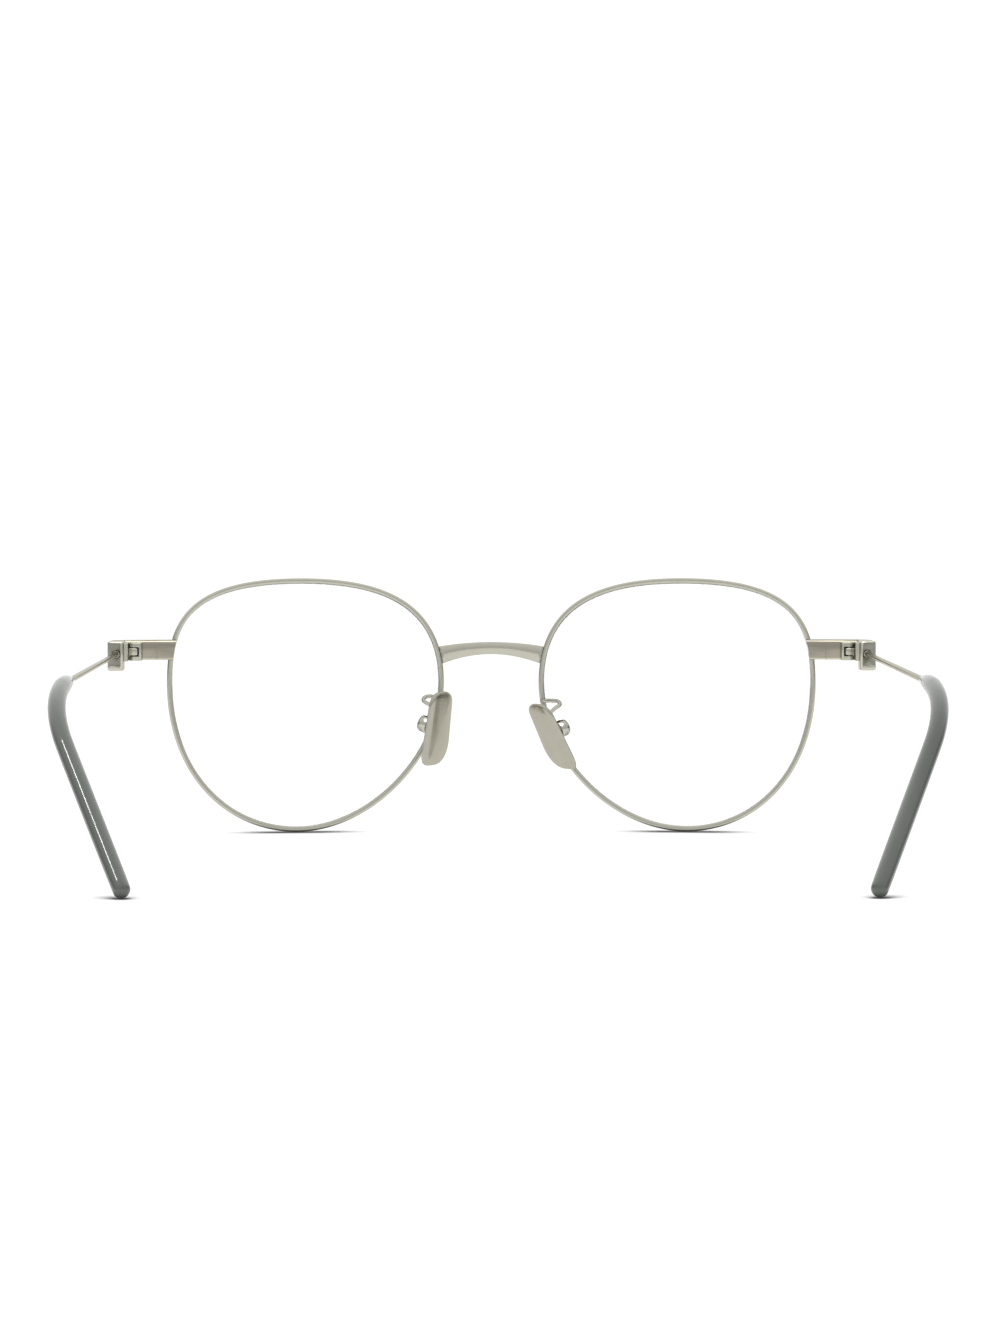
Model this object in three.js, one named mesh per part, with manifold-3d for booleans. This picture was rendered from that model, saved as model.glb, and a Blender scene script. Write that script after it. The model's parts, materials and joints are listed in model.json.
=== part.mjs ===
// Round wire eyeglasses, in millimetres, +Z up.
// They rest open on a table: on the bottoms of both rims and on the ends of both ear tips.
// +X is the wearer's right, +Y is where the wearer looks. The right side is built, the left mirrors it.
// The origin is on the table, in the middle of the footprint.
import * as THREE from "three";
import { mergeVertices } from "three/addons/utils/BufferGeometryUtils.js";
import Module from "manifold-3d";

const radians = THREE.MathUtils.degToRad;
const vec = (x, y, z) => new THREE.Vector3(x, y, z);

// ---------- Driving dimensions ----------
// Lengths in y are counted from the front's own plane, until the last step moves the origin.

// Rim: the wire's centre line is a rounded panto outline, drawn as four quarter curves.
const RIM_WIDTH = 50.5;
const RIM_HEIGHT = 46.1;
const EYE_SPACING = 68.8; // between the centres of the two outlines
const EYE_HEIGHT = 23.42; // an outline's centre over the table
const CROWN_SHIFT = 0.3; // the highest point lies this far towards the temple
const CHIN_SHIFT = 1.7; // and the lowest point this far
const WIDEST_AT = 4; // the outline is widest this far over its centre
const FRONT_TILT = radians(5); // the top leans forward
const FRONT_WRAP = radians(5); // the temple side swings back
const BASE_RADIUS = 100; // the sphere that rims and lenses follow
const WIRE_WIDTH = 0.94; // rim wire, seen from the front
const WIRE_DEPTH = 1.5; // rim wire, front to back
const GROOVE_DEPTH = 0.34;
const GROOVE_HALF = 0.45; // half of the groove's opening
const RIM_GAP = 0.3; // the rim is open this much inside its lock
const LENS_THICKNESS = 1.3;

// Bridge: an arched bar between the rims.
const BRIDGE_TOP = 34.95; // height of the top edge, in the middle
const BRIDGE_MIDDLE = 2.25; // the bar's height, in the middle
const BRIDGE_ROOT = 3.6; // the bar's height, at its ends
const BRIDGE_DROP = 0.85; // the top edge falls this much to its ends
const BRIDGE_HALF = 10.2;
const BRIDGE_THICKNESS = 1.1;
const BRIDGE_Y = 3.1; // of the bar's middle
const BRIDGE_BOW = 1; // the middle stands this far in front of the ends

// Endpiece: a solid bar from the rim back to the hinge, with the upper half of the rim lock.
const BAR_LOW = 32;
const BAR_HIGH = 35.68;
const BAR_EDGE = 0.42; // rounding of its edges
const BAR_START = 57.5; // it starts here, inside the rim's wire
const BAR_FRONT = -1.8; // its front face at the rim
const BAR_SWEEP = 0.9; // the front face falls back this much to the corner
const BAR_SLOPE = 0.157; // and at the corner it falls back this much per millimetre
const CORNER_X = 67.3; // the round corner to the side starts here
const CORNER_END_Y = -5.6; // and ends here
const LOCK_SPLIT = 33.8; // the height at which the rim lock parts
const LOCK_END = 61.6; // the lock's lower half reaches this far out
const LOCK_BACK = -4.75;
const STEP_START = 62; // a round step leads from the lock's back to the hinge's seat
const LOCK_SCREW_X = 60.35;
const LOCK_SCREW_Y = -3.2;
const SEAT_Y = -5.05; // the hinge is fixed to this face
const SEAT_X = 64.1; // which starts here
const SHOULDER_Y = -7.1; // the open temple stops against this end
const OUTSIDE_X = 70.3; // half the width of the whole front
const INSIDE_X = 67.35; // inner side of the endpiece's end and of the temple bracket

// Temple hinge: two knuckles on the front and one on the temple, about an upright pin.
const HINGE_X = 65.7;
const HINGE_Y = -7.6;
const HINGE_LOW = 32.02;
const HINGE_HIGH = 35.34;
const MIDDLE_LOW = 33.02;
const MIDDLE_HIGH = 34.3;
const KNUCKLE_RADIUS = 0.84;
const KNUCKLE_CORNER = 0.55; // rounding of the middle knuckle's inner corner at the back
const LEAF_THICKNESS = 0.55;
const LEAF_EDGE = 0.1;
const WALL_ROUND = 0.4; // of the wall beside the knuckles of the front
const PIN_RADIUS = 0.42;

// Temple bracket, with a recess in its back where the wire comes out.
const BRACKET_LOW = 30.3;
const BRACKET_BACK = -11.4;
const BRACKET_EDGE = 0.33;
const RECESS_DEPTH = 0.7;
const RECESS_X = 67.9; // edge of the lip on the inner side
const RECESS_LOW = 31.15;
const RECESS_HIGH = 35.42;
const FERRULE_RADIUS = 0.77;
const FERRULE_LENGTH = 1.2;

// Temple wire and ear tip share one path: straight back, a bend over the ear, then straight down and in.
const TEMPLE_START = vec(68.62, -8.9, 33.35);
const BEND_START = vec(72.0, -86, 32.15);
const BEND_END = vec(70.5, -109.7, 22.6);
const TIP_END = vec(59.75, -131.2, 0.5);
const BEND_IN = 12.5; // how far the bend keeps the direction it starts with
const BEND_OUT = 9.5; // and the one it ends with
const WIRE_RADIUS_FRONT = 0.5;
const WIRE_RADIUS_BACK = 0.56;
const TIP_WIDTH = 3.05; // side to side
const TIP_HEIGHT = 3.2;
const TIP_MOUTH = 1.8; // its diameter where the wire goes in
const TIP_TAPER = 9; // it reaches its full size over this length
const TIP_LENGTH = 61;
const CORE_SHORT = 6; // the wire ends this far before the tip's end
const WIRE_SIDES = 16;
const TIP_SIDES = 24;

// Nose pads. A pad's own frame has X towards the nose, Y to the back and Z up the pad.
const PAD_PIVOT_RIGHT = vec(12.85, -8, 19.55); // the pad screw crosses the middle of the pad box here
const PAD_PIVOT_LEFT = vec(12.2, -8, 20.35); // its arm is bent a little further in and up
const PAD_SPLAY = radians(32); // the pad against the direction of sight, from above
const PAD_NOMINAL = radians(19); // the pad against the vertical, as a fitter leaves it
const PAD_TILT_RIGHT = radians(29); // as each pad happens to lie on its screw
const PAD_TILT_LEFT = radians(9.5);
const PAD_BACK = 1.9; // from the screw's axis to the pad's back
const PAD_THICKNESS = 1.3;
const PAD_HALF_WIDTH = 3.75;
const PAD_FOOT = 4.45; // its front side reaches this far out at the foot
const PAD_HALF_HEIGHT = 6.9;
const PAD_LOWER = 0.4; // the pad's middle is this far under its screw
const PAD_FORWARD = 0.4; // and this far in front of it
const BOX_RADIUS = 1.6;
const BOX_FRONT = 1;
const BOX_BACK = 1.15;
const BOX_EDGE = 0.15;
const STUD_RADIUS = 0.72;
const STUD_THICKNESS = 1.2;
const PAD_PIN_RADIUS = 0.34;
const ARM_RADIUS = 0.38;
const ARM_ROOT = vec(9.35, 1.3, 24.1); // inside the rim's wire
const ARM_SIDES = 12;

// Clearances.
const FIXED_GAP = 0.03; // between parts fixed to each other
const LENS_GAP = 0.09; // between a lens and its rim
const LEAF_GAP = 0.08; // between the temple's hinge leaf and the knuckles of the front
const PIN_GAP = 0.04; // round a pin in the part that turns on it
const KNUCKLE_GAP = 0.24; // over and under the middle knuckle
const WALL_GAP = 0.18; // between that knuckle and the wall beside it
const STUD_GAP = 0.06; // between a nose pad's stud and its box

// ---------- Materials ----------

function metal(colour, roughness) {
  return new THREE.MeshStandardMaterial({ color: colour, roughness, metalness: 1 });
}
const satin = () => metal(0xb7b4a6, 0.3);
const polished = () => metal(0xc6c4b9, 0.15);
const screwMetal = () => metal(0xaaa79b, 0.25);
const greyPlastic = () => new THREE.MeshStandardMaterial({ color: 0x6d736c, roughness: 0.35, metalness: 0 });
const clear = () =>
  new THREE.MeshStandardMaterial({ color: 0xffffff, roughness: 0.03, transparent: true, opacity: 0.12 });

// ---------- Cuts and joins ----------

const wasm = await Module();
wasm.setup();

function toSolid(geometry) {
  const bare = new THREE.BufferGeometry();
  bare.setAttribute("position", geometry.getAttribute("position"));
  bare.setIndex(geometry.getIndex());
  const merged = mergeVertices(bare, 1e-5);
  const vertProperties = new Float32Array(merged.getAttribute("position").array);
  const triVerts = new Uint32Array(merged.getIndex().array);
  return new wasm.Manifold(new wasm.Mesh({ numProp: 3, vertProperties, triVerts }));
}

function toGeometry(solid) {
  const mesh = solid.getMesh();
  const geometry = new THREE.BufferGeometry();
  geometry.setAttribute("position", new THREE.BufferAttribute(mesh.vertProperties, 3));
  geometry.setIndex(new THREE.BufferAttribute(mesh.triVerts, 1));
  return geometry;
}

function cut(geometry, ...tools) {
  return toGeometry(tools.reduce((solid, tool) => solid.subtract(toSolid(tool)), toSolid(geometry)));
}

function join(geometry, ...others) {
  return toGeometry(others.reduce((solid, other) => solid.add(toSolid(other)), toSolid(geometry)));
}

function common(geometry, region) {
  return toGeometry(toSolid(geometry).intersect(toSolid(region)));
}

function mirrored(geometry) {
  const copy = geometry.clone().scale(-1, 1, 1);
  copy.setIndex(Array.from(copy.getIndex().array).reverse());
  return copy;
}

// ---------- Shapes ----------

// Skins a row of equal rings of points. Each ring runs anticlockwise when seen from past the row's end.
// Each end closes on a tip, which is a point, or on a flat face over flat, the ring drawn in two dimensions.
// With neither, the row closes on itself.
function skin(rings, { startTip, endTip, flat } = {}) {
  const count = rings[0].length;
  const points = rings.flat();
  const faces = [];
  const isLoop = !startTip && !endTip && !flat;
  const bands = isLoop ? rings.length : rings.length - 1;
  for (let i = 0; i < bands; i++) {
    const here = i * count;
    const next = ((i + 1) % rings.length) * count;
    for (let j = 0; j < count; j++) {
      const k = (j + 1) % count;
      faces.push(here + j, here + k, next + k);
      faces.push(here + j, next + k, next + j);
    }
  }
  const last = (rings.length - 1) * count;
  const lid = flat ? THREE.ShapeUtils.triangulateShape(flat, []) : [];
  if (startTip) {
    points.push(startTip);
    for (let j = 0; j < count; j++) faces.push(points.length - 1, (j + 1) % count, j);
  } else {
    for (const [a, b, c] of lid) faces.push(c, b, a);
  }
  if (endTip) {
    points.push(endTip);
    for (let j = 0; j < count; j++) faces.push(points.length - 1, last + j, last + ((j + 1) % count));
  } else {
    for (const [a, b, c] of lid) faces.push(last + a, last + b, last + c);
  }
  const geometry = new THREE.BufferGeometry().setFromPoints(points);
  geometry.setIndex(faces);
  return geometry;
}

function oval(width, height, count) {
  return Array.from({ length: count }, (_, i) => {
    const angle = (2 * Math.PI * i) / count;
    return new THREE.Vector2((width / 2) * Math.cos(angle), (height / 2) * Math.sin(angle));
  });
}

// A rectangle with cut corners, anticlockwise.
function chamfered(width, height, corner) {
  const x = width / 2;
  const y = height / 2;
  const corners = [
    [x, y - corner],
    [x - corner, y],
    [corner - x, y],
    [-x, y - corner],
    [-x, corner - y],
    [corner - x, -y],
    [x - corner, -y],
    [x, corner - y],
  ];
  return corners.map(([a, b]) => new THREE.Vector2(a, b));
}

// Sets a section square across a direction, its x sideways.
function acrossAt(centre, along, sideways, section) {
  const upwards = new THREE.Vector3().crossVectors(along, sideways);
  return section.map((p) => centre.clone().addScaledVector(sideways, p.x).addScaledVector(upwards, p.y));
}

// Turned about its own Z axis, from [radius, height] pairs that rise from the axis back to the axis.
function turned(profile, sides) {
  const points = profile.map(([radius, height]) => new THREE.Vector2(radius, height));
  return new THREE.LatheGeometry(points, sides).rotateX(Math.PI / 2);
}

// A flat shape in X and Y, made thick in Z, with rounded edges.
function plate(shape, low, high, edge) {
  return new THREE.ExtrudeGeometry(shape, {
    depth: high - low - 2 * edge,
    bevelThickness: edge,
    bevelSize: edge,
    bevelOffset: -edge,
    bevelSegments: 2,
    curveSegments: 5,
  }).translate(0, 0, low + edge);
}

function block(xLow, xHigh, yLow, yHigh, zLow, zHigh) {
  const box = new THREE.BoxGeometry(xHigh - xLow, yHigh - yLow, zHigh - zLow);
  return box.translate((xLow + xHigh) / 2, (yLow + yHigh) / 2, (zLow + zHigh) / 2);
}

// A screw stands on its countersunk head with its end up. room makes it larger all round, for its hole.
function screwBody({ head, headHeight, shank, length }, room = 0) {
  const profile = [
    [0, -room],
    [head + room, -room],
    [head + room, headHeight * 0.4 + room],
    [shank + room, headHeight + room],
    [shank + room, length - shank * 0.4 + room],
    [shank * 0.6 + room, length + room],
    [0, length + room],
  ];
  return turned(profile, 16);
}

function screw(size) {
  const halfSlot = size.head * 0.16;
  const slotDepth = size.headHeight * 0.35;
  return cut(screwBody(size), block(-size.head * 2, size.head * 2, -halfSlot, halfSlot, -slotDepth, slotDepth));
}

// ---------- The eye: rim and lens, in a frame with X to the temple, Y to the front and Z up ----------

const EYE_STATIONS = 60;
const EYE_FRAME = new THREE.Matrix4().compose(
  vec(EYE_SPACING / 2, 0, EYE_HEIGHT),
  new THREE.Quaternion().setFromEuler(new THREE.Euler(-FRONT_TILT, 0, -FRONT_WRAP)),
  vec(1, 1, 1),
);

// A quarter of the outline, from one extreme point to the next. Each end keeps the direction it starts with,
// level or upright, over its own share of the quarter's width or height.
function quarter(path, toX, toZ, startsLevel, startShare, endShare) {
  const { x, y: z } = path.currentPoint;
  const startX = startsLevel ? x + startShare * (toX - x) : x;
  const startZ = startsLevel ? z : z + startShare * (toZ - z);
  const endX = startsLevel ? toX : toX + endShare * (x - toX);
  const endZ = startsLevel ? toZ + endShare * (z - toZ) : toZ;
  path.bezierCurveTo(startX, startZ, endX, endZ, toX, toZ);
}

// The wire's centre line runs clockwise as the wearer sees it, from the widest point on the temple side.
function eyeOutline() {
  const side = RIM_WIDTH / 2;
  const top = RIM_HEIGHT / 2;
  const path = new THREE.Path();
  path.moveTo(side, WIDEST_AT);
  quarter(path, CHIN_SHIFT, -top, false, 0.585, 0.58);
  quarter(path, -side, WIDEST_AT, true, 0.52, 0.48);
  quarter(path, CROWN_SHIFT, top, false, 0.755, 0.6);
  quarter(path, side, WIDEST_AT, true, 0.915, 0.54);
  return path;
}

const outline = eyeOutline();
const outlineLength = outline.getLength();

// How far the sphere bulges to the front.
function bulge(x, z) {
  const atRim = Math.sqrt(BASE_RADIUS ** 2 - (RIM_HEIGHT / 2) ** 2);
  return Math.sqrt(BASE_RADIUS ** 2 - x ** 2 - z ** 2) - atRim;
}

// A point at a share of the outline's length, moved outwards and backwards from the wire's middle.
function eyePoint(share, outwards, backwards) {
  const p = outline.getPointAt(share % 1);
  const along = outline.getTangentAt(share % 1);
  return vec(p.x - along.y * outwards, bulge(p.x, p.y) - backwards, p.y + along.x * outwards);
}

// The share at which the rim lock splits the rim, found by halving the last quarter.
function splitShare() {
  const splitZ = (LOCK_SPLIT - EYE_HEIGHT) / Math.cos(FRONT_TILT);
  let before = 0.9;
  let after = 1;
  while (after - before > 1e-5) {
    const middle = (before + after) / 2;
    if (outline.getPointAt(middle).y > splitZ) before = middle;
    else after = middle;
  }
  return before;
}

const sharesOf = (count) => Array.from({ length: count }, (_, i) => i / count);
const everyShare = sharesOf(EYE_STATIONS);
const finerShare = sharesOf(2 * EYE_STATIONS); // for the room a rim takes up

function rim() {
  const half = WIRE_WIDTH / 2;
  const deep = WIRE_DEPTH / 2;
  const corner = 0.26;
  const outerCorner = 0.4;
  const section = [
    [half, deep - outerCorner],
    [half - corner, deep],
    [corner - half, deep],
    [-half, deep - corner / 2],
    [-half, GROOVE_HALF],
    [GROOVE_DEPTH - half, 0],
    [-half, -GROOVE_HALF],
    [-half, corner / 2 - deep],
    [corner - half, -deep],
    [half - corner, -deep],
    [half, outerCorner - deep],
  ].map(([outwards, backwards]) => new THREE.Vector2(outwards, backwards));
  const first = splitShare() + RIM_GAP / 2 / outlineLength;
  const covered = 1 - RIM_GAP / outlineLength;
  const rings = Array.from({ length: EYE_STATIONS }, (_, i) => {
    const share = first + (covered * i) / (EYE_STATIONS - 1);
    return section.map((p) => eyePoint(share, p.x, p.y));
  });
  return skin(rings, { flat: section });
}

// The room that the whole closed rim takes up in what is fixed to it.
function rimRoom() {
  const section = chamfered(WIRE_WIDTH + 2 * FIXED_GAP, WIRE_DEPTH + 2 * FIXED_GAP, 0.05);
  return skin(finerShare.map((share) => section.map((p) => eyePoint(share, p.x, p.y))));
}

// Everything inside the rim, far to the back and to the front.
function eyeOpening() {
  const reach = 12; // past everything that crosses the opening
  const ring = finerShare.map((share) => eyePoint(share, -WIRE_WIDTH / 2, 0));
  const rings = [-reach, reach].map((y) => ring.map((p) => vec(p.x, y, p.z)));
  return skin(rings, { flat: ring.map((p) => new THREE.Vector2(p.z, p.x)) });
}

function lens() {
  const half = LENS_THICKNESS / 2;
  const edge = -WIRE_WIDTH / 2 - LENS_GAP;
  const bevelTip = GROOVE_DEPTH - WIRE_WIDTH / 2 - LENS_GAP;
  const bevelHalf = GROOVE_HALF - 1.5 * LENS_GAP;
  const edgeRing = (outwards, backwards) => everyShare.map((share) => eyePoint(share, outwards, backwards));
  const faceRing = (scale, backwards) =>
    everyShare.map((share) => {
      const p = outline.getPointAt(share).multiplyScalar(scale);
      return vec(p.x, bulge(p.x, p.y) - backwards, p.y);
    });
  const rings = [
    faceRing(0.4, half),
    faceRing(0.75, half),
    edgeRing(edge, half),
    edgeRing(edge, bevelHalf),
    edgeRing(bevelTip, 0),
    edgeRing(edge, -bevelHalf),
    edgeRing(edge, -half),
    faceRing(0.75, -half),
    faceRing(0.4, -half),
  ];
  return skin(rings, { startTip: vec(0, bulge(0, 0) - half, 0), endTip: vec(0, bulge(0, 0) + half, 0) });
}

const roomForRim = rimRoom().applyMatrix4(EYE_FRAME);
const roomForEye = eyeOpening().applyMatrix4(EYE_FRAME);

// ---------- Bridge ----------

function bridge() {
  const stations = 20;
  const rings = Array.from({ length: stations + 1 }, (_, i) => {
    const t = (2 * i) / stations - 1;
    const height = BRIDGE_MIDDLE + (BRIDGE_ROOT - BRIDGE_MIDDLE) * t ** 2;
    const top = BRIDGE_TOP - BRIDGE_DROP * t ** 2;
    const centre = vec(t * BRIDGE_HALF, BRIDGE_Y - BRIDGE_BOW * t ** 2, top - height / 2);
    const section = chamfered(BRIDGE_THICKNESS, height, 0.3);
    return acrossAt(centre, vec(1, 0, 0), vec(0, 1, 0), section);
  });
  const bar = skin(rings, { flat: chamfered(BRIDGE_THICKNESS, BRIDGE_ROOT, 0.3) });
  return cut(bar, roomForRim, roomForEye, mirrored(roomForRim), mirrored(roomForEye));
}

// ---------- Endpiece and rim lock ----------

const LOCK_SCREW_SIZE = { head: 0.6, headHeight: 0.6, shank: 0.45, length: BAR_HIGH - BAR_LOW - 0.5 };

// The endpiece and the lock's lower half together.
function endpieceBlank() {
  const cornerY = BAR_FRONT - BAR_SWEEP;
  const outsideY = cornerY - BAR_SLOPE * (OUTSIDE_X - CORNER_X);
  const middleX = (BAR_START + CORNER_X) / 2;
  const middleY = cornerY + BAR_SLOPE * (CORNER_X - middleX);
  const shape = new THREE.Shape();
  shape.moveTo(BAR_START, LOCK_BACK);
  shape.lineTo(STEP_START, LOCK_BACK);
  shape.quadraticCurveTo((STEP_START + SEAT_X) / 2, LOCK_BACK, SEAT_X, SEAT_Y);
  shape.lineTo(INSIDE_X, SEAT_Y);
  shape.lineTo(INSIDE_X, SHOULDER_Y);
  shape.lineTo(OUTSIDE_X, SHOULDER_Y);
  shape.lineTo(OUTSIDE_X, CORNER_END_Y);
  shape.quadraticCurveTo(OUTSIDE_X, outsideY, CORNER_X, cornerY);
  shape.quadraticCurveTo(middleX, middleY, BAR_START, BAR_FRONT);
  return cut(plate(shape, BAR_LOW, BAR_HIGH, BAR_EDGE), roomForRim, roomForEye, lockScrewHole());
}

function lockScrewHole() {
  return screwBody(LOCK_SCREW_SIZE, FIXED_GAP).translate(LOCK_SCREW_X, LOCK_SCREW_Y, BAR_LOW);
}

function lockLowerHalf(room) {
  return block(BAR_START - 1, LOCK_END + room, LOCK_BACK - 1, 0, BAR_LOW - 1, LOCK_SPLIT + room);
}

const endpiece = () => cut(endpieceBlank(), lockLowerHalf(FIXED_GAP));
const closingBlock = () => common(endpieceBlank(), lockLowerHalf(0));

// ---------- Hinge ----------

const HINGE_PIN_SIZE = { head: 0.62, headHeight: 0.42, shank: PIN_RADIUS, length: HINGE_HIGH - HINGE_LOW - 0.06 };
const PIN_TOP = HINGE_HIGH - 0.03;

// The pin's head is on top, so the standing screw is turned over.
const hingePin = (body) => body.rotateX(Math.PI).translate(HINGE_X, HINGE_Y, PIN_TOP);

function frontLeaf() {
  const left = HINGE_X - KNUCKLE_RADIUS;
  const right = HINGE_X + KNUCKLE_RADIUS;
  const back = SEAT_Y - LEAF_THICKNESS;
  const start = SEAT_X + LEAF_EDGE;
  const end = INSIDE_X - FIXED_GAP;
  const behind = HINGE_Y - KNUCKLE_RADIUS;
  const shape = new THREE.Shape();
  shape.moveTo(start, SEAT_Y - FIXED_GAP);
  shape.lineTo(start, behind + WALL_ROUND);
  shape.quadraticCurveTo(start, behind, start + WALL_ROUND, behind);
  shape.lineTo(HINGE_X, behind);
  shape.absarc(HINGE_X, HINGE_Y, KNUCKLE_RADIUS, (3 * Math.PI) / 2, 2 * Math.PI);
  shape.lineTo(right, back);
  shape.lineTo(end, back);
  shape.lineTo(end, SEAT_Y - FIXED_GAP);
  const slotFront = HINGE_Y + KNUCKLE_RADIUS + KNUCKLE_GAP;
  const slotLow = MIDDLE_LOW - KNUCKLE_GAP;
  const slotHigh = MIDDLE_HIGH + KNUCKLE_GAP;
  const slot = block(left - WALL_GAP, right + 1, behind - 1, slotFront, slotLow, slotHigh);
  const hole = hingePin(screwBody(HINGE_PIN_SIZE, FIXED_GAP));
  return cut(plate(shape, HINGE_LOW, HINGE_HIGH, LEAF_EDGE), slot, hole);
}

function templeLeaf() {
  const inner = HINGE_X - KNUCKLE_RADIUS;
  const behind = HINGE_Y - KNUCKLE_RADIUS;
  const shape = new THREE.Shape();
  shape.absarc(HINGE_X, HINGE_Y, KNUCKLE_RADIUS, 0, Math.PI);
  shape.lineTo(inner, behind + KNUCKLE_CORNER);
  shape.quadraticCurveTo(inner, behind, inner + KNUCKLE_CORNER, behind);
  shape.lineTo(HINGE_X + KNUCKLE_RADIUS, behind);
  const knuckle = plate(shape, MIDDLE_LOW, MIDDLE_HIGH, LEAF_EDGE);
  const leafX = HINGE_X + KNUCKLE_RADIUS + LEAF_GAP;
  const neckBack = HINGE_Y - KNUCKLE_RADIUS * 0.7;
  const neckFront = HINGE_Y + KNUCKLE_RADIUS * 0.5;
  const neckLow = MIDDLE_LOW + LEAF_EDGE / 2;
  const neckHigh = MIDDLE_HIGH - LEAF_EDGE / 2;
  const neck = block(HINGE_X, leafX + LEAF_EDGE, neckBack, neckFront, neckLow, neckHigh);
  const leafBack = BRACKET_BACK + 2 * BRACKET_EDGE;
  const leafFront = SHOULDER_Y - 2 * LEAF_EDGE;
  const leaf = block(leafX, INSIDE_X - FIXED_GAP, leafBack, leafFront, HINGE_LOW, HINGE_HIGH);
  const holeRadius = PIN_RADIUS + PIN_GAP;
  const hole = turned([[0, 0], [holeRadius, 0], [holeRadius, BAR_HIGH], [0, BAR_HIGH]], 16);
  return cut(join(knuckle, neck, leaf), hole.translate(HINGE_X, HINGE_Y, 0));
}

// ---------- Temple: bracket, ferrule, wire and tip ----------

const backAlong = BEND_START.clone().sub(TEMPLE_START).normalize();
const downAlong = TIP_END.clone().sub(BEND_END).normalize();
const templePath = new THREE.CurvePath();
templePath.add(new THREE.LineCurve3(TEMPLE_START, BEND_START));
templePath.add(
  new THREE.CubicBezierCurve3(
    BEND_START,
    BEND_START.clone().addScaledVector(backAlong, BEND_IN),
    BEND_END.clone().addScaledVector(downAlong, -BEND_OUT),
    BEND_END,
  ),
);
templePath.add(new THREE.LineCurve3(BEND_END, TIP_END));

const templeLength = templePath.getLength();
const wireLength = TEMPLE_START.distanceTo(BEND_START);
const straightEnd = BEND_END.distanceTo(TIP_END);
const bendLength = templeLength - wireLength - straightEnd;

// A section across the temple at a distance along it, its x to the wearer's side and its y up.
function acrossTemple(distance, section) {
  const share = Math.min(distance / templeLength, 1);
  const along = templePath.getTangentAt(share);
  const sideways = vec(0, 0, 1).cross(along).normalize();
  return acrossAt(templePath.getPointAt(share), along, sideways, section);
}

// Distances that cover the straight part with few stations and the bend with many.
function templeStations(from, to, inBend) {
  const bend = Array.from({ length: inBend }, (_, i) => wireLength + (bendLength * i) / (inBend - 1));
  return [from, ...bend.filter((distance) => distance > from + 1 && distance < to - 1), to];
}

function wireRings(room, inBend) {
  return templeStations(0, templeLength - CORE_SHORT + room, inBend).map((distance) => {
    const grown = Math.min(distance / wireLength, 1);
    const radius = WIRE_RADIUS_FRONT + (WIRE_RADIUS_BACK - WIRE_RADIUS_FRONT) * grown + room;
    return acrossTemple(distance, oval(2 * radius, 2 * radius, WIRE_SIDES));
  });
}

function wireBody(room) {
  return skin(wireRings(room, 12), { flat: oval(1, 1, WIRE_SIDES) });
}

function tip() {
  const start = templeLength - TIP_LENGTH;
  const round = TIP_WIDTH / 2;
  const taper = [0, 0.12, 0.3, 0.5, 0.75, 1].map((share) => start + share * TIP_TAPER);
  const bend = templeStations(start + TIP_TAPER + 1, templeLength - round, 13);
  const end = [0.35, 0.65, 0.87, 0.97].map((share) => templeLength - round * (1 - share));
  const rings = [...taper, ...bend, ...end].map((distance) => {
    const grown = THREE.MathUtils.smoothstep(distance, start - TIP_TAPER * 0.5, start + TIP_TAPER);
    const intoEnd = Math.max(0, 1 - (templeLength - distance) / round);
    const shrunk = Math.sqrt(1 - intoEnd ** 2);
    const width = THREE.MathUtils.lerp(TIP_MOUTH, TIP_WIDTH, grown) * shrunk;
    const height = THREE.MathUtils.lerp(TIP_MOUTH, TIP_HEIGHT, grown) * shrunk;
    return acrossTemple(distance, oval(width, height, TIP_SIDES));
  });
  return cut(skin(rings, { endTip: TIP_END, flat: oval(1, 1, TIP_SIDES) }), wireBody(FIXED_GAP));
}

function bracket() {
  const corner = 1.8 * BRACKET_EDGE;
  const front = SHOULDER_Y - FIXED_GAP;
  const shape = new THREE.Shape();
  shape.moveTo(INSIDE_X + corner, BRACKET_BACK);
  shape.lineTo(OUTSIDE_X - corner, BRACKET_BACK);
  shape.quadraticCurveTo(OUTSIDE_X, BRACKET_BACK, OUTSIDE_X, BRACKET_BACK + corner);
  shape.lineTo(OUTSIDE_X, front);
  shape.lineTo(INSIDE_X, front);
  shape.lineTo(INSIDE_X, BRACKET_BACK + corner);
  shape.quadraticCurveTo(INSIDE_X, BRACKET_BACK, INSIDE_X + corner, BRACKET_BACK);
  const floor = BRACKET_BACK + RECESS_DEPTH;
  const recess = block(RECESS_X, OUTSIDE_X + 1, BRACKET_BACK - 1, floor, RECESS_LOW, RECESS_HIGH);
  return cut(plate(shape, BRACKET_LOW, BAR_HIGH, BRACKET_EDGE), recess, wireBody(FIXED_GAP));
}

function ferrule() {
  const neck = FERRULE_RADIUS * 0.8;
  const profile = [
    [0, 0],
    [FERRULE_RADIUS, 0],
    [FERRULE_RADIUS, FERRULE_LENGTH * 0.65],
    [neck, FERRULE_LENGTH],
    [0, FERRULE_LENGTH],
  ];
  const body = turned(profile, 16);
  const floor = BRACKET_BACK + RECESS_DEPTH - FIXED_GAP;
  const centre = TEMPLE_START.clone().addScaledVector(backAlong, TEMPLE_START.y - floor);
  return cut(body.rotateX(Math.PI / 2).translate(centre.x, floor, centre.z), wireBody(FIXED_GAP));
}

// ---------- Nose pad, in its own frame: X towards the nose, Y to the back, Z up the pad ----------

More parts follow.
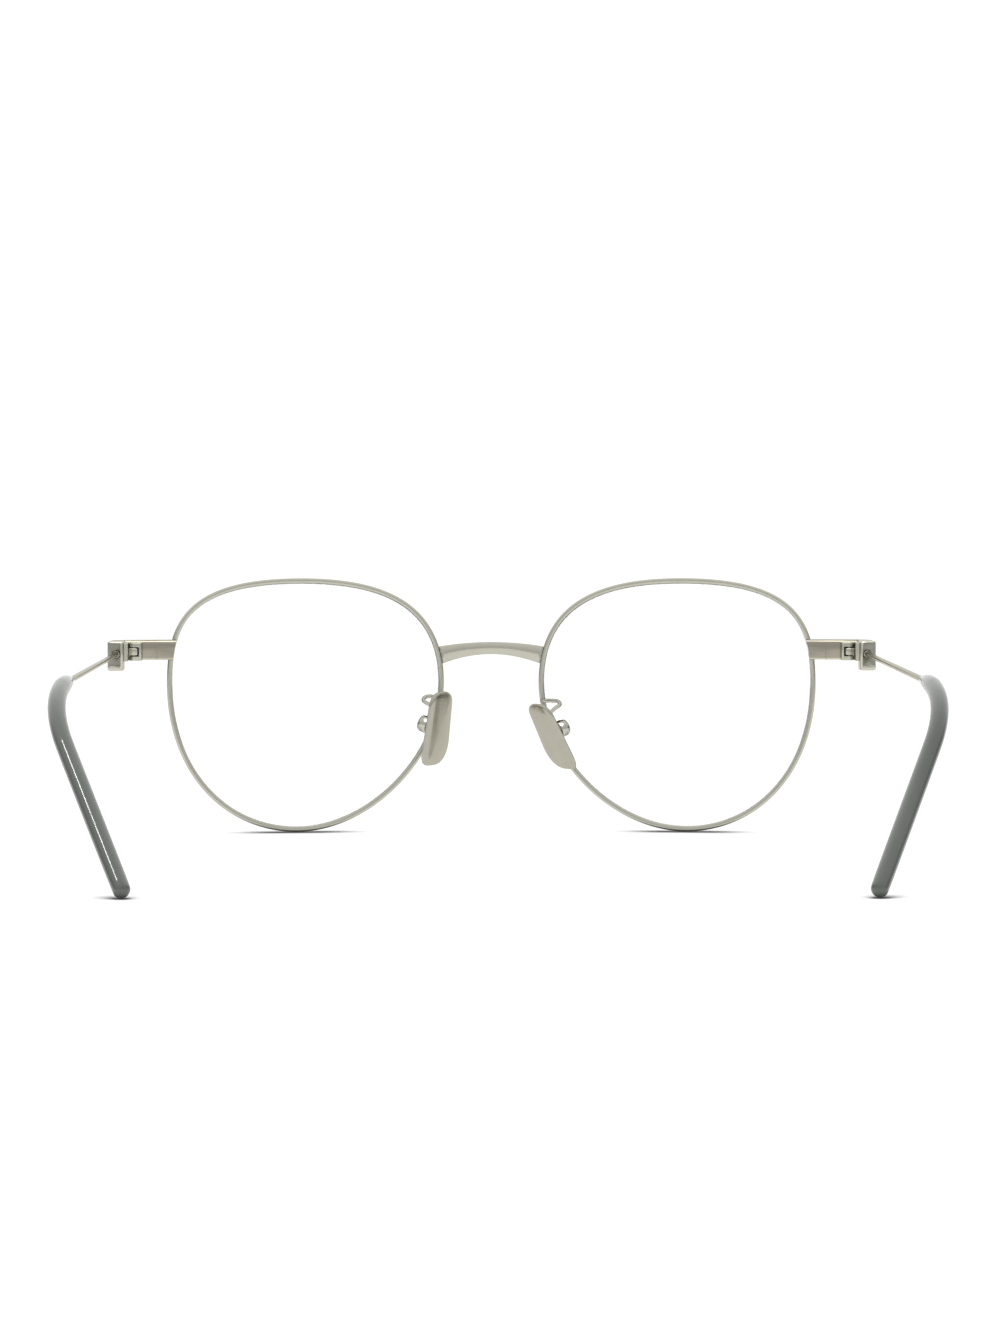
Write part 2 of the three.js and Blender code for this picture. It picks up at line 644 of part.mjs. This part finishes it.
// Seen from the nose, a long rounded shape with its foot drawn out to the front. It runs from the top to the
// front and round.
function padOutline() {
  const top = PAD_HALF_HEIGHT;
  const side = PAD_HALF_WIDTH;
  const path = new THREE.Path();
  path.moveTo(0.8, top);
  path.lineTo(-1.2, top);
  path.bezierCurveTo(-2.7, top, -side, top - 0.9, -side, top - 2.3);
  path.lineTo(-PAD_FOOT, -2.6);
  path.bezierCurveTo(-PAD_FOOT, -5.3, -3, -top, -0.4, -top);
  path.lineTo(1.6, -top);
  path.bezierCurveTo(3, -top, side, 1 - top, side, 2.3 - top);
  path.lineTo(side - 0.2, top - 2.4);
  path.bezierCurveTo(side - 0.3, top - 0.9, 2.4, top, 0.8, top);
  return path;
}

// The pad is a cushion with a flat back and rounded edges, and a stud behind it takes the screw.
function nosePad() {
  const path = padOutline();
  const shares = sharesOf(44);
  // how far inside the outline, and at which share of the thickness
  const layers = [
    [0.3, 0],
    [0, 0.16],
    [0, 0.36],
    [0.12, 0.56],
    [0.42, 0.72],
    [1.05, 0.85],
    [2.1, 0.96],
  ];
  const at = (p, share) => vec(PAD_BACK + share * PAD_THICKNESS, p.x - PAD_FORWARD, p.y - PAD_LOWER);
  const inset = (share, distance) => {
    const along = path.getTangentAt(share);
    const inwards = new THREE.Vector2(-along.y, along.x);
    return path.getPointAt(share).addScaledVector(inwards, distance);
  };
  const rings = layers.map(([distance, share]) => shares.map((around) => at(inset(around, distance), share)));
  const middle = new THREE.Vector2(0, 0);
  const pillow = skin(rings, { startTip: at(middle, 0), endTip: at(middle, 1) });
  const stud = new THREE.Shape();
  stud.moveTo(PAD_BACK + 0.3, STUD_RADIUS);
  stud.lineTo(0, STUD_RADIUS);
  stud.absarc(0, 0, STUD_RADIUS, Math.PI / 2, (3 * Math.PI) / 2);
  stud.lineTo(PAD_BACK + 0.3, -STUD_RADIUS);
  const half = STUD_THICKNESS / 2;
  const studBody = plate(stud, -half, half, 0.1).rotateX(Math.PI / 2);
  return cut(join(pillow, studBody), padPinRoom(PAD_PIN_RADIUS + PIN_GAP));
}

function padPinRoom(radius) {
  return turned([[0, -3], [radius, -3], [radius, 3], [0, 3]], 16).rotateX(Math.PI / 2);
}

const PAD_PIN_SIZE = { head: 0.58, headHeight: 0.4, shank: PAD_PIN_RADIUS, length: 2 * BOX_RADIUS - 0.35 };

// The screw goes in from the back.
const padPin = (body) => body.rotateX(Math.PI / 2).translate(0, BOX_RADIUS - 0.14, 0);

// A round cup with a domed back. room makes it larger all round.
function boxCup(room) {
  const radius = BOX_RADIUS + room;
  const dome = [
    [0, -BOX_BACK - room],
    [radius * 0.6, 0.05 - BOX_BACK - room],
    [radius * 0.85, -BOX_BACK * 0.8 - room],
    [radius, -BOX_BACK * 0.4 - room],
    [radius, BOX_FRONT - BOX_EDGE + room],
    [radius - BOX_EDGE, BOX_FRONT + room],
    [0, BOX_FRONT + room],
  ];
  return turned(dome, 24).rotateY(Math.PI / 2);
}

// The cup is open to the nose, with a slot for the stud.
function padBox() {
  const halfSlot = STUD_THICKNESS / 2 + STUD_GAP;
  const slotBack = -STUD_RADIUS - STUD_GAP;
  const slot = block(slotBack, BOX_FRONT + 1, -halfSlot, halfSlot, -BOX_RADIUS - 1, BOX_RADIUS + 1);
  return cut(boxCup(0), slot, padPin(screwBody(PAD_PIN_SIZE, FIXED_GAP)));
}

// ---------- Pad arm: a bent wire from the back of the rim to the front side of the pad box ----------

function padArm(pivot) {
  const boxFrame = new THREE.Matrix4()
    .makeRotationZ(Math.PI + PAD_SPLAY)
    .multiply(new THREE.Matrix4().makeRotationY(PAD_NOMINAL))
    .setPosition(pivot);
  const inLoop = (x, y, z) => vec(ARM_ROOT.x + x, pivot.y + y, pivot.z + z);
  const fromPivot = (x, y, z) => pivot.clone().add(vec(x, y, z));
  const fromBox = (y, z) => vec(-0.2, y, z).applyMatrix4(boxFrame);
  // out of the rim, round a tight loop to the side, down beside the pad and into the box
  const path = new THREE.CatmullRomCurve3([
    ARM_ROOT,
    ARM_ROOT.clone().add(vec(0.4, -2.3, 0.15)),
    inLoop(1.7, 5.2, 4.8),
    inLoop(3, 4, 4.7),
    inLoop(3.25, 3.1, 4.15),
    inLoop(2.3, 2.4, 3.55),
    fromPivot(-2.05, 2, 2.6),
    fromPivot(-2, 2.2, 1.4),
    fromBox(-2.5, 0.5),
    fromBox(-1.1, 0.3),
  ]);
  const stations = 36;
  const { tangents, normals } = path.computeFrenetFrames(stations);
  const section = oval(2 * ARM_RADIUS, 2 * ARM_RADIUS, ARM_SIDES);
  const rings = tangents.map((along, i) => acrossAt(path.getPointAt(i / stations), along, normals[i], section));
  return cut(skin(rings, { flat: section }), roomForRim, boxCup(FIXED_GAP).applyMatrix4(boxFrame));
}

// ---------- Assembly ----------

const glasses = new THREE.Group();

function add(group, name, geometry, material) {
  const mesh = new THREE.Mesh(geometry, material);
  mesh.name = name;
  group.add(mesh);
}

function sideOf(side, padPivot, padTilt) {
  const group = new THREE.Group();

  const eye = new THREE.Group();
  eye.applyMatrix4(EYE_FRAME);
  add(eye, `${side}_rim`, rim(), satin());
  add(eye, `${side}_lens`, lens(), clear());

  add(group, `${side}_endpiece`, endpiece(), satin());
  add(group, `${side}_closing_block`, closingBlock(), satin());
  const lockScrew = screw(LOCK_SCREW_SIZE).translate(LOCK_SCREW_X, LOCK_SCREW_Y, BAR_LOW);
  add(group, `${side}_closing_screw`, lockScrew, screwMetal());

  add(group, `${side}_front_hinge_leaf`, frontLeaf(), satin());
  add(group, `${side}_hinge_screw`, hingePin(screw(HINGE_PIN_SIZE)), screwMetal());
  add(group, `${side}_temple_hinge_leaf`, templeLeaf(), satin());
  add(group, `${side}_temple_bracket`, bracket(), satin());
  add(group, `${side}_wire_ferrule`, ferrule(), polished());
  add(group, `${side}_temple_wire`, wireBody(0), polished());
  add(group, `${side}_temple_tip`, tip(), greyPlastic());

  const padMount = new THREE.Group();
  padMount.position.copy(padPivot);
  padMount.rotation.z = Math.PI + PAD_SPLAY;
  const boxHolder = new THREE.Group();
  boxHolder.rotation.y = PAD_NOMINAL;
  add(boxHolder, `${side}_pad_box`, padBox(), polished());
  add(boxHolder, `${side}_pad_screw`, padPin(screw(PAD_PIN_SIZE)), screwMetal());
  const swivel = new THREE.Group();
  swivel.rotation.y = padTilt;
  add(swivel, `${side}_nose_pad`, nosePad(), polished());
  padMount.add(boxHolder, swivel);
  add(group, `${side}_pad_arm`, padArm(padPivot), polished());

  group.add(eye, padMount);
  return group;
}

const right = sideOf("right", PAD_PIVOT_RIGHT, PAD_TILT_RIGHT);
const left = sideOf("left", PAD_PIVOT_LEFT, PAD_TILT_LEFT);
left.scale.x = -1;
glasses.add(right, left);
add(glasses, "bridge", bridge(), satin());

// The origin goes to the middle of the footprint, on the table.
glasses.updateMatrixWorld(true);
const bounds = new THREE.Box3().setFromObject(glasses, true);
const middle = bounds.getCenter(vec(0, 0, 0));
glasses.position.set(-middle.x, -middle.y, -bounds.min.z);

export default glasses;
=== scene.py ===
import json
import math

import bmesh
import bpy
from mathutils import Matrix, Vector


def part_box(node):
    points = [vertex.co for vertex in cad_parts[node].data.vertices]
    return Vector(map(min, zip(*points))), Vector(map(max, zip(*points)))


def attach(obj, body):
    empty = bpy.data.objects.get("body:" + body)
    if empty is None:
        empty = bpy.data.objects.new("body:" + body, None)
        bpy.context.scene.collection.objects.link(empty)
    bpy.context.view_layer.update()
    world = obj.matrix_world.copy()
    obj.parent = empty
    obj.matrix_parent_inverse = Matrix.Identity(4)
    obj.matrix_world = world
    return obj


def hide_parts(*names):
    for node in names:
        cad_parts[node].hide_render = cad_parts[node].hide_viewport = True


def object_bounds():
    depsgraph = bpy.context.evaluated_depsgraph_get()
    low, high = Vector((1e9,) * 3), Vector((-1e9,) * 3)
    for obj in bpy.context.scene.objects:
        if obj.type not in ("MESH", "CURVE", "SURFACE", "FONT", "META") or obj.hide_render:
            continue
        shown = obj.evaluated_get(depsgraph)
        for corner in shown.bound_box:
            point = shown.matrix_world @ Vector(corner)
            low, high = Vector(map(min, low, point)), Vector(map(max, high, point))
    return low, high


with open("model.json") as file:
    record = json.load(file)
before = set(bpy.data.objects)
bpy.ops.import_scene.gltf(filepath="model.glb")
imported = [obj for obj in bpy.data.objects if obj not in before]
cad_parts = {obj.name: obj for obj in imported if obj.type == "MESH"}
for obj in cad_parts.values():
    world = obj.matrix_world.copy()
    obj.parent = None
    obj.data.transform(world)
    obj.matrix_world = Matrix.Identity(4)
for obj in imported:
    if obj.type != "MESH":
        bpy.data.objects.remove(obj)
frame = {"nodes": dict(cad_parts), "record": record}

cad_low, cad_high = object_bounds()
MM = 0.001
SIDES = ("right", "left")

# how far from an edge metal is lightened, partly as wear and partly as a painted highlight, and how far
# into a slot it is painted dark, a painted shade
WORN_AND_SHEEN_REACH = 0.08 * MM
CAVITY_SHADE_REACH = 0.25 * MM
CLOUDING = 0.03  # share by which metal's tone varies
RECESS_SHADE_DEPTH = 0.45 * MM  # from a bracket's back to where the floor of its recess is painted dark: painted shade

# bends between faces, in degrees
SAME_FACE = 1
SAME_SURFACE = 30
SOFT_EDGE = 30
HARD_EDGE = 50
CORNER = 75

# ---------- Node materials ----------


class Graph:
    """A node tree, with short calls for the nodes that the looks share."""

    def __init__(self, tree):
        self.nodes = tree.nodes
        self.links = tree.links

    def add(self, kind, **values):
        """A node of that kind. A value sets the input of that name, or the node's own property."""
        node = self.nodes.new(kind)
        for key, value in values.items():
            label = key.replace("_", " ")
            if label in node.inputs:
                self.feed(node.inputs[label], value)
            else:
                setattr(node, key, value)
        return node

    def feed(self, socket, value):
        if isinstance(value, bpy.types.NodeSocket):
            self.links.new(value, socket)
        else:
            socket.default_value = value

    def math(self, operation, *values):
        node = self.add("ShaderNodeMath", operation=operation)
        for socket, value in zip(node.inputs, values):
            self.feed(socket, value)
        return node.outputs[0]

    def fitted(self, value, low, high, start=0.3, end=0.7, curve="LINEAR"):
        """The part of value from start to end, spread from low to high."""
        ranger = self.add("ShaderNodeMapRange", interpolation_type=curve, Value=value)
        ranger.inputs["From Min"].default_value = start
        ranger.inputs["From Max"].default_value = end
        ranger.inputs["To Min"].default_value = low
        ranger.inputs["To Max"].default_value = high
        return ranger.outputs["Result"]

    def blend(self, share, first, second):
        """A colour between the two."""
        mix = self.add("ShaderNodeMix", data_type="RGBA")
        for socket, value in zip((mix.inputs[0], mix.inputs[6], mix.inputs[7]), (share, first, second)):
            self.feed(socket, value)
        return mix.outputs[2]


class Look(Graph):
    """A material's node tree round its main shader."""

    def __init__(self, name):
        self.material = bpy.data.materials.new(name)
        self.material.use_nodes = True
        super().__init__(self.material.node_tree)
        self.shader = self.nodes["Principled BSDF"]
        self.output = self.nodes["Material Output"]
        self.place = self.add("ShaderNodeTexCoord").outputs["Object"]

    def noise(self, size, detail=3.0, stretch=None):
        """Noise from 0 to 1, its patches about size long. stretch scales it along each axis."""
        place = self.place
        if stretch:
            place = self.add("ShaderNodeMapping", Vector=place, Scale=stretch).outputs["Vector"]
        return self.add("ShaderNodeTexNoise", Vector=place, Scale=1 / size, Detail=detail).outputs["Fac"]

    def edges(self, radius):
        """Near 1 on edges, 0 on faces."""
        rounded = self.add("ShaderNodeBevel", samples=6, Radius=radius).outputs["Normal"]
        true = self.add("ShaderNodeNewGeometry").outputs["Normal"]
        dot = self.add("ShaderNodeVectorMath", operation="DOT_PRODUCT")
        self.feed(dot.inputs[0], rounded)
        self.feed(dot.inputs[1], true)
        return self.fitted(dot.outputs["Value"], 1.0, 0.0, 0.88, 0.99)

    def crevices(self, reach):
        """1 deep in slots and corners, 0 in the open."""
        open_share = self.add("ShaderNodeAmbientOcclusion", samples=12, Distance=reach).outputs["AO"]
        return self.fitted(open_share, 1.0, 0.0, 0.15, 0.6)

    def bump(self, height, depth, strength=1.0):
        bump = self.add("ShaderNodeBump", Height=height, Distance=depth, Strength=strength)
        self.feed(self.shader.inputs["Normal"], bump.outputs["Normal"])

    def set(self, **values):
        for key, value in values.items():
            self.feed(self.shader.inputs[key.replace("_", " ")], value)


def colour(red, green, blue):
    return (red, green, blue, 1.0)


def scaled(tone, share):
    return colour(*(min(1.0, part * share) for part in tone[:3]))


def metal(name, tone, rough, edge_sheen_gain=1.2, grazing=0.8, recess_shade_from=None):
    """Titanium: faintly clouded and finely brushed. Its edges are lighter, partly from wear and partly as
    a painted highlight, and its slots and corners are painted near black, a painted shade.
    grazing dims what it mirrors at a shallow angle. The last argument is the y in front of which faces
    that look back are painted dark and matt, a painted shade in the bracket's recess."""
    g = Look(name)
    clouds = g.fitted(g.noise(3.5 * MM), 0.0, 1.0)
    clouded = g.blend(clouds, scaled(tone, 1 - CLOUDING), scaled(tone, 1 + CLOUDING))
    # edges are lightened: partly wear, partly a painted highlight along them
    wear_and_sheen = g.math("MULTIPLY", g.edges(WORN_AND_SHEEN_REACH), g.fitted(g.noise(0.7 * MM), 0.4, 1.0))
    worn_and_sheened = g.blend(wear_and_sheen, clouded, scaled(tone, edge_sheen_gain))
    # ambient occlusion finds slots and corners, which get painted shade
    painted_cavity_shade = g.crevices(CAVITY_SHADE_REACH)
    brushing = g.noise(0.05 * MM, 2.0, stretch=(0.1, 0.1, 1.0))
    brushed = g.fitted(brushing, rough * 0.9, rough * 1.1)
    roughness = g.math("MULTIPLY_ADD", wear_and_sheen, -0.3 * rough, brushed)
    # in the bracket's recess, faces that look back are painted darker and made matt: painted shade
    # standing in for the recess's shadow
    if recess_shade_from is not None:
        place = g.add("ShaderNodeSeparateXYZ", Vector=g.place)
        normal = g.add("ShaderNodeTexCoord").outputs["Normal"]
        facing = g.add("ShaderNodeSeparateXYZ", Vector=normal)
        deep = g.fitted(place.outputs["Y"], 0.0, 1.0, recess_shade_from, recess_shade_from + 0.1 * MM)
        floor = g.math("MULTIPLY", deep, g.fitted(facing.outputs["Y"], 1.0, 0.0, -0.9, -0.6))
        worn_and_sheened = g.blend(floor, worn_and_sheened, scaled(tone, 0.55))
        roughness = g.math("MULTIPLY_ADD", floor, 0.15, roughness)
    # deep in slots and corners the colour goes near black: painted shade standing in for their shadow
    g.set(Metallic=1.0, Base_Color=g.blend(painted_cavity_shade, worn_and_sheened, scaled(tone, 0.06)))
    g.set(Specular_Tint=colour(grazing, 0.98 * grazing, 0.88 * grazing))
    g.set(Roughness=g.math("MULTIPLY_ADD", painted_cavity_shade, 0.3, roughness))
    g.bump(brushing, 0.0008 * MM)
    return g.material


def plastic_tip(name):
    """Grey moulded plastic under a clear polished skin, with faint flow marks and fine handling scuffs."""
    g = Look(name)
    marbling = g.noise(7 * MM, 4.0, stretch=(1.0, 0.35, 0.35))
    tone = g.blend(g.fitted(marbling, 0.0, 1.0), colour(0.092, 0.102, 0.09), colour(0.106, 0.116, 0.103))
    scuffs = g.noise(0.35 * MM, 5.0)
    g.set(Base_Color=tone, Roughness=g.fitted(scuffs, 0.4, 0.5), IOR=1.5, Specular_IOR_Level=0.2)
    g.set(Coat_Weight=1.0, Coat_IOR=1.45, Coat_Roughness=0.05)
    g.bump(g.noise(6 * MM, 1.0), 0.004 * MM, 0.4)
    return g.material


def clear_lens(name):
    """Clear plastic: nothing but a faint reflection that grows towards grazing."""
    g = Look(name)
    g.nodes.remove(g.shader)
    smear = g.noise(9 * MM, 4.0)
    facing = g.add("ShaderNodeFresnel", IOR=1.25).outputs["Fac"]
    shine = g.math("MULTIPLY", facing, g.fitted(smear, 0.6, 0.85))
    polish = g.fitted(smear, 0.01, 0.05)
    glossy = g.add("ShaderNodeBsdfGlossy", Color=colour(0.92, 0.92, 0.9), Roughness=polish)
    through = g.add("ShaderNodeBsdfTransparent", Color=colour(0.995, 0.995, 0.992))
    mix = g.add("ShaderNodeMixShader")
    g.feed(mix.inputs[0], shine)
    g.feed(mix.inputs[1], through.outputs[0])
    g.feed(mix.inputs[2], glossy.outputs[0])
    g.feed(g.output.inputs["Surface"], mix.outputs[0])
    return g.material


materials = {
    "satin_metal": metal("satin titanium", colour(0.50, 0.496, 0.425), 0.25),
    "polished_metal": metal("polished titanium", colour(0.52, 0.51, 0.45), 0.12, grazing=0.35),
    "screw": metal("screw steel", colour(0.45, 0.44, 0.40), 0.22),
    "tip": plastic_tip("grey tip plastic"),
    "lens": clear_lens("clear lens"),
}
# the endpiece and closing block get a darker copy of the satin titanium: painted shade on their back
# faces, with stronger painted edge highlights
shaded_bar_metal = metal("satin titanium, endpiece", colour(0.35, 0.327, 0.262), 0.24, edge_sheen_gain=1.3)
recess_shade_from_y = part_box("right_temple_bracket")[0].y + RECESS_SHADE_DEPTH
own_looks = {
    # the bridge gets a lighter copy of the satin titanium: a painted lighter tone standing in for more
    # light falling on it
    "bridge": metal("satin titanium, bridge", colour(0.52, 0.505, 0.43), 0.22),
    "endpiece": shaded_bar_metal,
    "closing_block": shaded_bar_metal,
    "nose_pad": metal("satin titanium, pad", colour(0.43, 0.415, 0.35), 0.24, edge_sheen_gain=1.0),
    "temple_wire": metal("polished titanium, wire", colour(0.54, 0.53, 0.46), 0.14, grazing=0.65),
    "temple_bracket": metal(
        "satin titanium, bracket",
        colour(0.56, 0.55, 0.47),
        0.22,
        recess_shade_from=recess_shade_from_y,
    ),
}

# ---------- Finished pieces ----------


def join_and_crease(work):
    """Joins the triangles of a curved surface and holds its edges back from being smoothed away."""
    bmesh.ops.join_triangles(
        work,
        faces=work.faces,
        angle_face_threshold=math.radians(SAME_SURFACE),
        angle_shape_threshold=math.radians(180),
    )
    crease = work.edges.layers.float.new("crease_edge")
    for edge in work.edges:
        bend = edge.calc_face_angle(0.0)
        if bend > math.radians(CORNER):
            edge[crease] = 0.9
        elif bend > math.radians(SOFT_EDGE):
            edge[crease] = 0.35


def join_flat_faces(work):
    bmesh.ops.dissolve_limit(
        work,
        angle_limit=math.radians(SAME_FACE),
        verts=work.verts,
        edges=work.edges,
    )


def round_edges(piece, width):
    bevel = piece.modifiers.new("rounding", "BEVEL")
    bevel.width = width
    bevel.segments = 2
    bevel.limit_method = "ANGLE"
    bevel.angle_limit = math.radians(HARD_EDGE)
    bevel.harden_normals = True
    bevel.use_clamp_overlap = True


def subdivide(piece, levels):
    subdivision = piece.modifiers.new("subdivision", "SUBSURF")
    subdivision.levels = levels
    subdivision.render_levels = levels


def finished(node, levels=0, rounding=0.0):
    """A copy of a CAD node with whole faces in place of triangles, which then stands for it.
    levels subdivides it, and rounding bevels its sharp edges."""
    work = bmesh.new()
    work.from_mesh(frame["nodes"][node].data)
    bmesh.ops.remove_doubles(work, verts=work.verts, dist=0.0005 * MM)
    if levels:
        join_and_crease(work)
    else:
        join_flat_faces(work)
    mesh = bpy.data.meshes.new(node + "_finished")
    work.to_mesh(mesh)
    work.free()
    for face in mesh.polygons:
        face.use_smooth = True
    piece = bpy.data.objects.new(node + "_finished", mesh)
    bpy.context.scene.collection.objects.link(piece)
    if rounding:
        round_edges(piece, rounding)
    if levels:
        subdivide(piece, levels)
    else:
        mesh.set_sharp_from_angle(angle=math.radians(HARD_EDGE))
    slot = next(s["material_slot"] for s in frame["record"]["subparts"] if s["node"] == node)
    kind = node.removeprefix("right_").removeprefix("left_")
    mesh.materials.append(own_looks.get(kind, materials[slot]))
    bodies = frame["record"]["behaviour"]["bodies"]
    body = next(name for name, members in bodies.items() if node in members)
    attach(piece, body)
    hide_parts(node)
    return piece


SMOOTH = ("rim", "lens", "temple_wire", "temple_tip", "pad_arm", "nose_pad")
BLOCKS = (
    "endpiece",
    "closing_block",
    "front_hinge_leaf",
    "temple_hinge_leaf",
    "temple_bracket",
    "wire_ferrule",
    "pad_box",
    "closing_screw",
    "hinge_screw",
    "pad_screw",
)
pieces = {"bridge": finished("bridge", rounding=0.05 * MM)}
for side in SIDES:
    for name in SMOOTH:
        pieces[f"{side}_{name}"] = finished(f"{side}_{name}", levels=2)
    for name in BLOCKS:
        pieces[f"{side}_{name}"] = finished(f"{side}_{name}", rounding=0.03 * MM)

# ---------- Stage: a white table, soft studio light, and the camera ----------

middle = (cad_low + cad_high) / 2


def white_floor():
    mesh = bpy.data.meshes.new("floor")
    half = 3.0
    corners = [(-half, -half, 0), (half, -half, 0), (half, half, 0), (-half, half, 0)]
    mesh.from_pydata(corners, [], [(0, 1, 2, 3)])
    floor = bpy.data.objects.new("floor", mesh)
    bpy.context.scene.collection.objects.link(floor)
    floor.location.z = cad_low.z - 0.02 * MM
    g = Look("white table")
    speckle = g.fitted(g.noise(2 * MM, 2.0), 0.0, 1.0)
    g.set(Base_Color=g.blend(speckle, colour(0.2, 0.2, 0.2), colour(0.21, 0.21, 0.21)), Roughness=0.9)
    g.set(Specular_IOR_Level=0.0)
    # the table glows evenly white, its glow cut close round what stands on it by ambient occlusion: a
    # painted contact shadow
    open_share = g.add("ShaderNodeAmbientOcclusion", samples=16, Distance=5 * MM).outputs["AO"]
    g.set(Emission_Color=colour(1.0, 1.0, 1.0))
    g.set(Emission_Strength=g.fitted(open_share, 0.0, 0.92, 0.5, 0.97, "SMOOTHSTEP"))
    mesh.materials.append(g.material)


def white_room():
    """White for the camera. For the rest a tent: white in front of the glasses and overhead, dimmer behind
    the camera, with a dark flag low on each side."""
    world = bpy.data.worlds.new("studio")
    bpy.context.scene.world = world
    world.use_nodes = True
    world.node_tree.nodes.clear()
    g = Graph(world.node_tree)
    parts = g.add("ShaderNodeSeparateXYZ", Vector=g.add("ShaderNodeTexCoord").outputs["Generated"])
    height = parts.outputs["Z"]
    behind = g.fitted(height, 0.6, 0.95, -0.1, 0.9, "SMOOTHSTEP")
    ahead = g.fitted(parts.outputs["Y"], 0.0, 1.0, 0.0, 0.6, "SMOOTHSTEP")
    room = g.math("MULTIPLY_ADD", ahead, g.math("SUBTRACT", 1.1, behind), behind)
    sideways = g.fitted(g.math("ABSOLUTE", parts.outputs["X"]), 0.0, 1.0, 0.7, 0.88, "SMOOTHSTEP")
    beside = g.fitted(parts.outputs["Y"], 0.0, 1.0, -0.25, 0.05, "SMOOTHSTEP")
    low = g.fitted(height, 1.0, 0.0, 0.2, 0.5, "SMOOTHSTEP")
    flags = g.math("MULTIPLY", g.math("MULTIPLY", sideways, beside), low)
    strength = g.math("MULTIPLY", room, g.math("MULTIPLY_ADD", flags, -0.85, 1.0))
    white = colour(1.0, 1.0, 1.0)
    lit = g.add("ShaderNodeBackground", Color=white, Strength=strength)
    seen = g.add("ShaderNodeBackground", Color=white, Strength=1.05)
    mix = g.add("ShaderNodeMixShader")
    g.feed(mix.inputs[0], g.add("ShaderNodeLightPath").outputs["Is Camera Ray"])
    g.feed(mix.inputs[1], lit.outputs[0])
    g.feed(mix.inputs[2], seen.outputs[0])
    g.add("ShaderNodeOutputWorld", Surface=mix.outputs[0])


def area_light(name, place, target, lit, radiance, width, length, glossy=True):
    """A square or oblong light that looks from place at target and lights only the given pieces."""
    data = bpy.data.lights.new(name, "AREA")
    data.shape = "RECTANGLE"
    data.size = width
    data.size_y = length
    data.energy = radiance * math.pi * width * length
    lamp = bpy.data.objects.new(name, data)
    bpy.context.scene.collection.objects.link(lamp)
    lamp.location = place
    lamp.rotation_euler = (target - place).to_track_quat("-Z", "Y").to_euler()
    lamp.visible_camera = False
    lamp.visible_glossy = glossy
    receivers = bpy.data.collections.new(name + " receivers")
    for piece in lit:
        receivers.objects.link(piece)
    lamp.light_linking.receiver_collection = receivers
    return lamp


def pieces_but(*kinds):
    """All finished pieces but those of the given kinds."""
    return [piece for name, piece in pieces.items() if not name.endswith(kinds)]


white_floor()
white_room()
area_light(
    "overhead",
    middle + Vector((0.0, -0.5, 0.87)),
    middle,
    pieces_but("bridge", "rim", "lens", "nose_pad", "pad_arm", "temple_tip"),
    radiance=2.8,
    width=0.8,
    length=0.8,
)

# a lamp on the table under each endpiece lights its lower edges
for side in SIDES:
    bar_low, bar_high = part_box(f"{side}_endpiece")
    bar = (bar_low + bar_high) / 2
    under = Vector((bar.x, bar.y, cad_low.z + 3 * MM))
    blocks = [pieces[f"{side}_endpiece"], pieces[f"{side}_closing_block"]]
    area_light(f"{side} low lamp", under, bar, blocks, radiance=0.9, width=0.06, length=0.04)

# a lamp high in front of the glasses lights the upper bends of the tips and isn't mirrored in them
tips = [pieces["left_temple_tip"], pieces["right_temple_tip"]]
area_light(
    "tip lamp",
    middle + Vector((0.0, 0.5, 0.8)),
    middle,
    tips,
    radiance=11,
    width=0.6,
    length=0.6,
    glossy=False,
)

# a narrow strip lamp, along the left tip, draws a thin line of light on it
tip_low, tip_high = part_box("left_temple_tip")
left_tip = (tip_low + tip_high) / 2
tip_along = Vector((0.33, -0.66, -0.68))  # towards its end
strip_place = left_tip + 0.5 * Vector((-0.51, -0.173, 0.843)) + 0.024 * tip_along
strip = area_light(
    "strip lamp",
    strip_place,
    left_tip,
    tips[:1],
    radiance=24,
    width=0.07,
    length=0.075,
)
aim = (left_tip - strip_place).normalized()
across = aim.cross(tip_along).normalized()
strip.rotation_euler = Matrix((across, across.cross(aim), -aim)).transposed().to_euler()

front_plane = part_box("bridge")[1].y - 3.65 * MM  # halfway through the depth of the tilted rims
CAMERA_BACK = 0.9  # from that plane
CAMERA_SIDE = -0.01055
CAMERA_HEIGHT = 0.07396
CAMERA_DOWN = math.radians(2.7655)
CAMERA_TURN = -0.0135
camera_data = bpy.data.cameras.new("camera")
camera_data.lens = 131.29
camera_data.sensor_width = 36
camera_data.clip_start = 0.05
camera_data.clip_end = 20
camera = bpy.data.objects.new("camera", camera_data)
bpy.context.scene.collection.objects.link(camera)
camera.location = (CAMERA_SIDE, front_plane - CAMERA_BACK, CAMERA_HEIGHT)
camera.rotation_euler = (math.pi / 2 - CAMERA_DOWN, 0, CAMERA_TURN)
bpy.context.scene.camera = camera
bpy.context.scene.view_settings.view_transform = "Standard"
